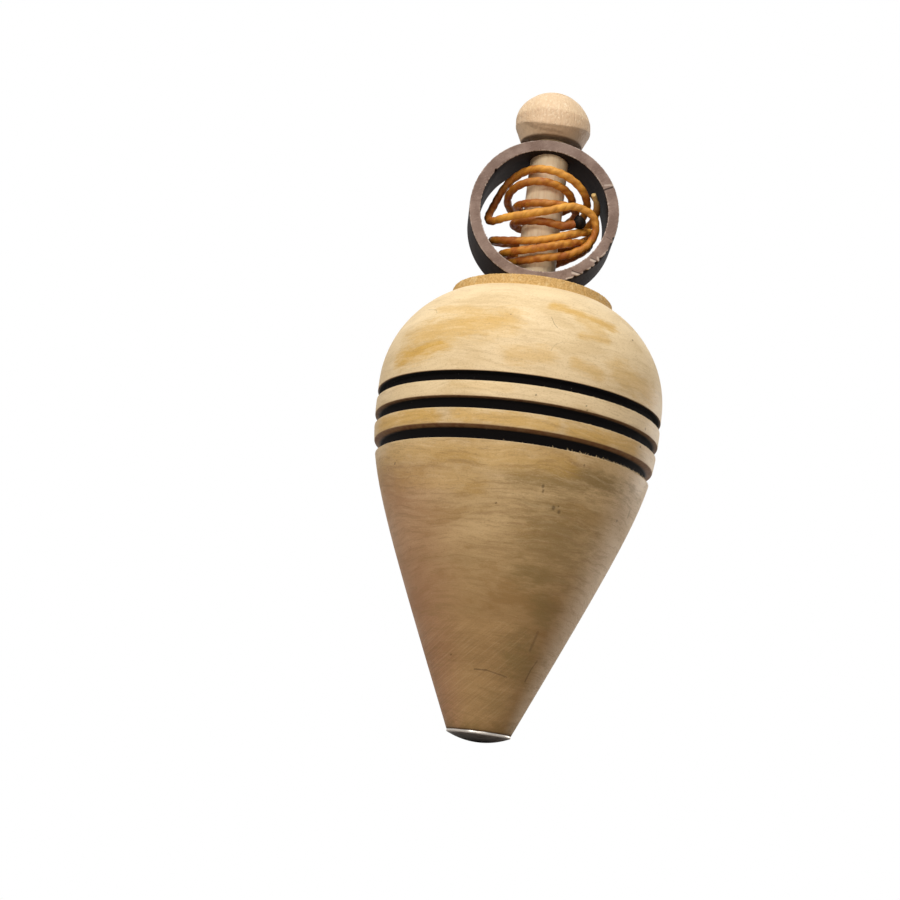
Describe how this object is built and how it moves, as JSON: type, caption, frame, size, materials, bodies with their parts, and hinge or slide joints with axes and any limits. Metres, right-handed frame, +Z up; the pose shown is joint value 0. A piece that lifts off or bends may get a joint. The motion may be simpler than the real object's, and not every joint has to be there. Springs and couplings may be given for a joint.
{
  "type": "spinning top",
  "caption": "Turned wooden pull-string spinning top with burnt grooves, a domed steel tip, a dowel spindle with a knob, and a plastic ring handle holding a loosely wound waxed string.",
  "frame": {"origin": "lowest point of the steel tip, on the spin axis", "axes": "+Z up along the spin axis, towards the knob; the ring handle's open faces look along -Y and +Y; +X is to the picture's right"},
  "size_m": [0.0502, 0.0502, 0.1185],
  "materials": {
    "body_wood": "bare turned wood, sanded, with burnt grooves",
    "cap_steel": "bright, worn by spinning",
    "nail_steel": "plain",
    "dowel_wood": "bare dowel",
    "knob_wood": "bare turned wood, smooth",
    "pipe_plastic": "smooth outside and inside, sawn on both faces",
    "waxed_string": "twisted and waxed",
    "melted_end": "melted"
  },
  "bodies": {
    "spinner": {"top_body": "body_wood", "tip_cap": "cap_steel", "tip_nail": "nail_steel", "spindle": "dowel_wood", "knob": "knob_wood"},
    "string": {"pull_string": "waxed_string", "melted_knot": "melted_end"},
    "handle": {"ring_handle": "pipe_plastic"}
  },
  "joints": [
    {"name": "handle_slide", "type": "slide", "parent": "spinner", "child": "string", "axis": [0, 0, 1], "range_m": [-0.0017, 0.0009]},
    {"name": "handle_spin", "type": "hinge", "parent": "string", "child": "handle", "pos_m": [0, 0, 0.09411], "axis": [0, 0, 1], "continuous": true}
  ]
}
